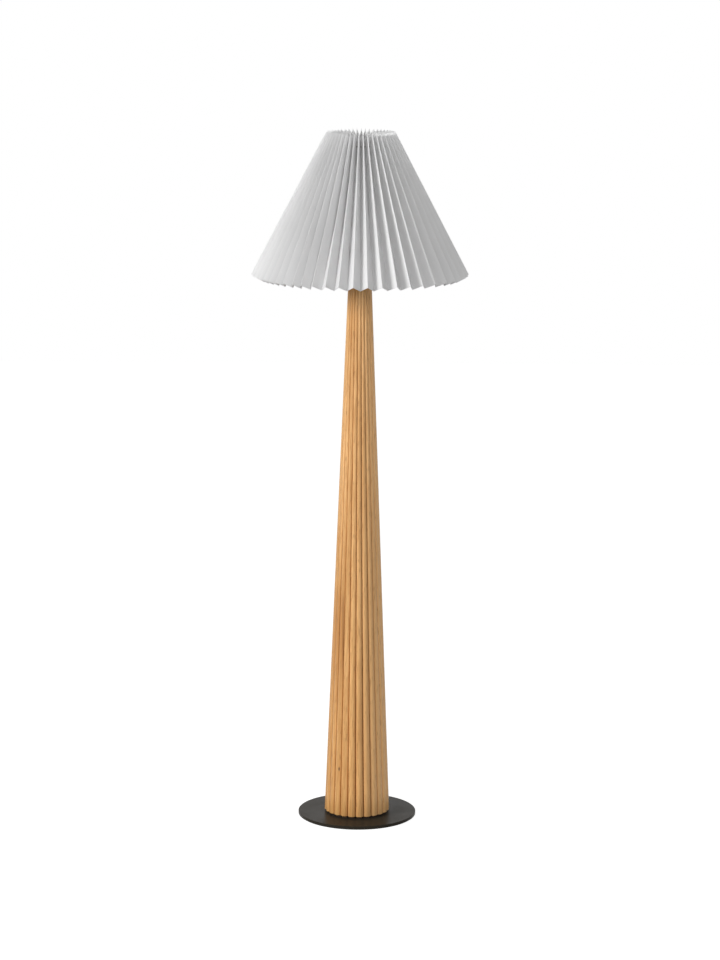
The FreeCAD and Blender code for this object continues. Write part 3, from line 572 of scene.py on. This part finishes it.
glass = Finish("bulb_glass")
rise = glass.axes()[2].between(BULB_NECK_Z, BULB_CROWN_Z)
cloudy = glass.noise(40, detail=3)
finishes["bulb_glass"] = glass.coat(
    Base_Color=glass.mixed(rise * 0.8 + cloudy * 0.2, (0.72, 0.72, 0.7), (0.9, 0.89, 0.86)),
    Roughness=0.3 + cloudy * 0.15,
    Coat_Weight=0.6,
    Coat_Roughness=0.1,
)

# %% [markdown]
# ## Dressing the sub-parts
#
# Sub-parts whose shape is right stay as they are and only get their finish. The record names it:
# a sub-part's material slot says what it is made of. The material goes into the slots of the
# object, and the mesh isn't touched.

# %% Dress
for part in frame["record"]["subparts"]:
    for material_slot in frame["nodes"][part["node"]].material_slots:
        material_slot.material = finishes[part["material_slot"]]
print("dressed", len(frame["nodes"]), "sub-parts")

# %% [markdown]
# ## The pleated shade
#
# A pleated shade is one long strip folded to and fro, bent round and glued into a cone. Hands
# fold it, so no two folds open alike. The widths on the side that the picture shows were read
# from it, fold by fold. Those behind are drawn at random and then shared out, to close the ring.

# %% Fold angles
FOLDS = 50
FIRST_RIDGE = -74.5                  # degrees from the front, to the left
FRONT_GAPS = (7, 6, 6, 5.5, 6, 6.5, 5.5, 6.5, 7.5, 7, 7.5,
              7.5, 7.5, 8, 7.5, 7.5, 8.5, 8.5, 8, 7.5, 8)
NARROWEST, WIDEST = 6.4, 8.1         # behind

random.seed(20)
hidden = [random.uniform(NARROWEST, WIDEST) for fold in range(FOLDS - len(FRONT_GAPS))]
closing = (360 - sum(FRONT_GAPS)) / sum(hidden)
gaps = list(FRONT_GAPS) + [gap * closing for gap in hidden]
ridges = [FIRST_RIDGE + sum(gaps[:fold]) for fold in range(FOLDS)]
print("folds:", FOLDS, "from", round(min(gaps), 1), "to", round(max(gaps), 1), "degrees wide")

# %% [markdown]
# A ring of a hundred points is enough to start: every other point is the outer edge of a fold,
# and the ones between become the valleys. Each point is turned to its own angle. A new circle's
# first point stands at the back, and the next ones follow counterclockwise.

# %% Ring of folds
POINTS = 2 * FOLDS
STEP = 360 / POINTS
FIRST_POINT = 30                     # the ring's point that becomes the first ridge

bpy.ops.mesh.primitive_circle_add(
    vertices=POINTS, radius=LOW_RIDGE[0], location=(0, 0, LOW_RIDGE[1])
)
shade = added("shade_paper_folds")
open_mesh(shade)
for fold in range(FOLDS):
    for half, angle in ((0, ridges[fold]), (1, ridges[fold] + gaps[fold] / 2)):
        number = (FIRST_POINT + 2 * fold + half) % POINTS
        stands_at = number * STEP - 180
        pick(lambda vertex: vertex.index == number)
        turn((angle - stands_at + 180) % 360 - 180)
close_mesh()
print("ring:", len(shade.data.vertices), "points")

# %% [markdown]
# The ring is extruded up to the top rim and drawn in. The rims are cut square to the slope, so a
# valley's ends lie lower than the ridges beside it. At the top the valleys all go in alike. At
# the low rim a fold that is pulled wide is shallower, because its paper is no wider.

# %% Top rim and valleys
MIDWAY_Z = (LOW_RIDGE[1] + TOP_RIDGE[1]) / 2
RIM_DEPTH = LOW_RIDGE[0] - LOW_VALLEY[0]
EVEN_HALF = LOW_RIDGE[0] * math.radians(STEP)    # from ridge to valley along the rim


def is_top_valley(vertex):
    return vertex.index % 2 != FIRST_POINT % 2 and vertex.co.z > MIDWAY_Z


open_mesh(shade)
pick(lambda vertex: True)
extrude()
shift(TOP_RIDGE[1] - LOW_RIDGE[1])
draw_in(TOP_RIDGE[0] / LOW_RIDGE[0])
pick(is_top_valley)
draw_in(TOP_VALLEY[0] / TOP_RIDGE[0])
shift(TOP_VALLEY[1] - TOP_RIDGE[1])
for fold in range(FOLDS):
    half_wide = LOW_RIDGE[0] * math.radians(gaps[fold] / 2)
    depth = math.sqrt(max(RIM_DEPTH**2 + EVEN_HALF**2 - half_wide**2, 0))
    depth = min(depth, RIM_DEPTH)
    number = (FIRST_POINT + 2 * fold + 1) % POINTS
    pick(lambda vertex: vertex.index == number)
    draw_in((LOW_RIDGE[0] - depth) / LOW_RIDGE[0])
    shift((LOW_VALLEY[1] - LOW_RIDGE[1]) * depth / RIM_DEPTH)
close_mesh()
print("folded:", len(shade.data.vertices), "points")

# %% [markdown]
# Paper is never quite flat between two folds. The panels are cut into a grid, which a soft noise
# can move. The folds themselves are rounded by a narrow bevel, as thick paper can't bend to a
# knife edge.

# %% Cut and crease
ALONG_CUTS, ACROSS_CUTS = 22, 3
CREASE, CREASE_ANGLE = 0.0006, 30    # the bevel's size, and the turn that makes a crease


def is_steep(edge):
    """True for an edge that runs up the shade, before it is cut."""
    return abs(edge.verts[0].co.z - edge.verts[1].co.z) > 0.1


def crosses(edge):
    """True for an edge that runs from a ridge to a valley."""
    first, second = (vertex.co for vertex in edge.verts)
    return (second.z - first.z) * (first.xy.length - second.xy.length) < 0


def is_crease(edge):
    return not edge.is_boundary and edge.calc_face_angle(0) > math.radians(CREASE_ANGLE)


open_mesh(shade)
pick(is_steep, "EDGE")
bpy.ops.mesh.subdivide(number_cuts=ALONG_CUTS)
pick(crosses, "EDGE")
bpy.ops.mesh.subdivide(number_cuts=ACROSS_CUTS)
pick(is_crease, "EDGE")
bpy.ops.mesh.bevel(offset=CREASE, segments=2, affect="EDGES", clamp_overlap=True)
face_outwards()
close_mesh()
print("creased:", triangles(shade), "triangles")

# %% [markdown]
# The noise moves the panels by less than a millimetre. Solidify then gives the paper its
# thickness, half to each side, so that the folds stay where they were.

# %% Wave and thicken
PAPER = 0.0006
WAVE_LENGTH, WAVE_HEIGHT = 0.08, 0.0009

waves = bpy.data.textures.new("paper_waves", "CLOUDS")
waves.noise_scale = WAVE_LENGTH
apply(shade, "DISPLACE", texture=waves, strength=WAVE_HEIGHT, mid_level=0.5, texture_coords="LOCAL")
apply(shade, "SOLIDIFY", thickness=PAPER, offset=0.0)
smooth(shade, 25)
shade.data.materials.append(finishes["shade_paper"])
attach(shade, "shade")
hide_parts("shade_pleats")
print("shade:", triangles(shade), "triangles")

# %% [markdown]
# ## The reeded column
#
# Reeds are rounded ribs that stand side by side and meet in sharp grooves. On this column they
# run from foot to neck, narrowing with the taper, and they lean a few degrees round it. A ring
# with twelve points to a reed is shaped once at the foot: each point in a reed is drawn in by
# the height of its arc, and the point in the groove goes deeper, to make a fine dark cut.

# %% Reeds at the foot
REEDS, POINTS_PER_REED = 24, 12
GROOVE_DEPTH, CUT_DEEPER = 0.0047, 0.0042

bpy.ops.mesh.primitive_circle_add(
    vertices=REEDS * POINTS_PER_REED, radius=FOOT_R, location=(0, 0, FOOT_Z + GAP)
)
column = added("reeded_column")
half_reed = math.pi * FOOT_R / REEDS
arc = (half_reed**2 + GROOVE_DEPTH**2) / (2 * GROOVE_DEPTH)
open_mesh(column)
for step in range(POINTS_PER_REED // 2):
    off_crest = half_reed * (1 - 2 * step / POINTS_PER_REED)
    drop = arc - math.sqrt(arc**2 - off_crest**2) + (CUT_DEEPER if step == 0 else 0)
    pick(lambda vertex: vertex.index % POINTS_PER_REED in (step, POINTS_PER_REED - step))
    draw_in((FOOT_R - drop) / FOOT_R)
close_mesh()
print("reeds:", REEDS, "with an arc of", round(arc * 1000, 1), "mm radius")

# %% [markdown]
# The ring is extruded up in short steps, drawn in and turned a little at each. At the foot it
# goes in under the reeds and down to the plate, which leaves a thin dark gap there.

# %% Up to the neck and down to the plate
FOOT_TURN, NECK_TURN = 12.4, 6.4     # the grooves' angles at the foot and at the neck
LIFTS = 24
RECESS_R = 0.0705                    # a narrower foot carries the reeds
CLOSE = 0.0001

open_mesh(column)
pick(lambda vertex: True)
turn(FOOT_TURN)
for lift in range(LIFTS):
    here = FOOT_R + (NECK_R - FOOT_R) * lift / LIFTS
    there = FOOT_R + (NECK_R - FOOT_R) * (lift + 1) / LIFTS
    extrude()
    shift((NECK_Z - FOOT_Z - GAP) / LIFTS)
    draw_in(there / here)
    turn((NECK_TURN - FOOT_TURN) / LIFTS)
pick(lambda edge: middle(edge).z < FOOT_Z + GAP + CLOSE, "EDGE")
extrude()
draw_in(RECESS_R / FOOT_R)
extrude()
shift(-GAP)
close_mesh()
print("column's outside:", triangles(column), "triangles")

# %% [markdown]
# The bore is a plain cone inside. It is joined to the column, and its two ends are bridged to
# the column's ends.

# %% Bore
FOOT_BORE, NECK_BORE = 0.0605, 0.0158

bpy.ops.mesh.primitive_cone_add(
    vertices=REEDS * POINTS_PER_REED,
    radius1=FOOT_BORE,
    radius2=NECK_BORE,
    depth=NECK_Z - FOOT_Z,
    end_fill_type="NOTHING",
    location=(0, 0, (FOOT_Z + NECK_Z) / 2),
)
bore = added("bore")
take(column)
bore.select_set(True)
bpy.ops.object.join()
for end in (FOOT_Z, NECK_Z):
    open_mesh(column)
    pick(lambda edge: edge.is_boundary and abs(middle(edge).z - end) < 10 * CLOSE, "EDGE")
    bpy.ops.mesh.bridge_edge_loops()
    close_mesh()
print("with its bore:", triangles(column), "triangles")

# %% [markdown]
# A fine bevel rounds the sharp low edge of the reeds, so that it catches a thin line of light.

# %% Round the reeds' feet
FOOT_BEVEL, FOOT_ANGLE = 0.0007, 60


def is_reed_foot(edge):
    spot = middle(edge)
    sharp = edge.calc_face_angle(0) > math.radians(FOOT_ANGLE)
    return abs(spot.z - FOOT_Z - GAP) < CLOSE and sharp and spot.xy.length > RECESS_R


open_mesh(column)
rounded = pick(is_reed_foot, "EDGE")
bpy.ops.mesh.bevel(offset=FOOT_BEVEL, segments=2, affect="EDGES", clamp_overlap=True)
face_outwards()
close_mesh()
smooth(column, 40)
column.data.materials.append(finishes["column_wood"])
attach(column, "stand")
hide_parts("column")
print("column:", rounded, "edges rounded,", triangles(column), "triangles")

# %% [markdown]
# ## Floor and white surroundings
#
# The lamp stands on a plain floor in a white room. Light Path tells the shader which ray asks:
# to the camera, to shiny surfaces and to glass the room is white, while to the lamp's own
# surfaces it is a soft, weaker light from all round. The floor adds a glow for those first rays
# only, so it looks white too, and the lamp's shadow still shows on it. Its own colour is a
# grey, which throws less light up into the shade.

# %% Floor
FLOOR_GREY, FLOOR_GLOW, FLOOR_SIZE = 0.4, 0.88, 14


def seen_directly(network):
    """1 for a camera, glossy or transmission ray, and 0 for any other."""
    rays = network.node("LightPath", {}, {}).socket.node.outputs
    direct = Wire(network, rays["Is Camera Ray"])
    for other in ("Is Glossy Ray", "Is Transmission Ray"):
        direct = direct.maths("MAXIMUM", Wire(network, rays[other]))
    return direct


ground = Finish("floor")
ground.coat(
    Base_Color=(FLOOR_GREY, FLOOR_GREY, FLOOR_GREY),
    Roughness=0.9,
    Specular_IOR_Level=0.0,
    Emission_Color=(1, 1, 1),
    Emission_Strength=seen_directly(ground) * FLOOR_GLOW,
)
bpy.ops.mesh.primitive_plane_add(size=FLOOR_SIZE, location=(0, 0, 0))
floor = added("floor")
floor.data.materials.append(ground.material)
bpy.ops.object.select_all(action="DESELECT")
print("floor:", FLOOR_SIZE, "m wide")

# %% White room
AMBIENT = 0.32                       # the room's light on the lamp, where 1 is white

world = bpy.data.worlds.new("white_room")
bpy.context.scene.world = world
world.use_nodes = True
room = Network(world.node_tree)
background = room.nodes["Background"]
room.put(background.inputs["Color"], (1, 1, 1))
room.put(background.inputs["Strength"], seen_directly(room) * (1 - AMBIENT) + AMBIENT)
print("room:", len(room.nodes), "nodes")

# %% [markdown]
# ## Lamps
#
# In the picture the folds that face left and towards us are bright, and the ridges throw soft
# shadows into the valleys on the right. A broad soft lamp does that, well to the left and above
# the shade, and a weaker one near the camera lifts the front. Both stand far off, so that they
# light the shade and the foot about alike.

# %% Lamps
LAMP_DISTANCE, LAMP_HEIGHT, AIM_HEIGHT = 6.0, 2.9, 1.2


def soft_lamp(name, side_angle, size, strength):
    """An area lamp. Its strength is about what it adds to white paper that faces it."""
    angle = math.radians(side_angle)
    away = Vector((math.sin(angle), -math.cos(angle), 0)) * LAMP_DISTANCE
    at = away + Vector((0, 0, LAMP_HEIGHT))
    bpy.ops.object.light_add(type="AREA", location=at)
    made = bpy.context.object
    made.name = name
    made.data.shape = "RECTANGLE"
    made.data.size, made.data.size_y = size
    made.data.energy = strength * math.pi**2 * LAMP_DISTANCE**2
    made.rotation_euler = (Vector((0, 0, AIM_HEIGHT)) - at).to_track_quat("-Z", "Y").to_euler()
    made.select_set(False)
    print(name, "lamp:", round(made.data.energy), "W")


soft_lamp("key", -58, (2.2, 1.6), 0.73)
soft_lamp("front", 8, (1.6, 1.6), 0.25)

# %% [markdown]
# ## View transform
#
# The view transform is the plain one, so a colour renders as it is written.

# %% Finish
bpy.context.scene.view_settings.view_transform = "Standard"
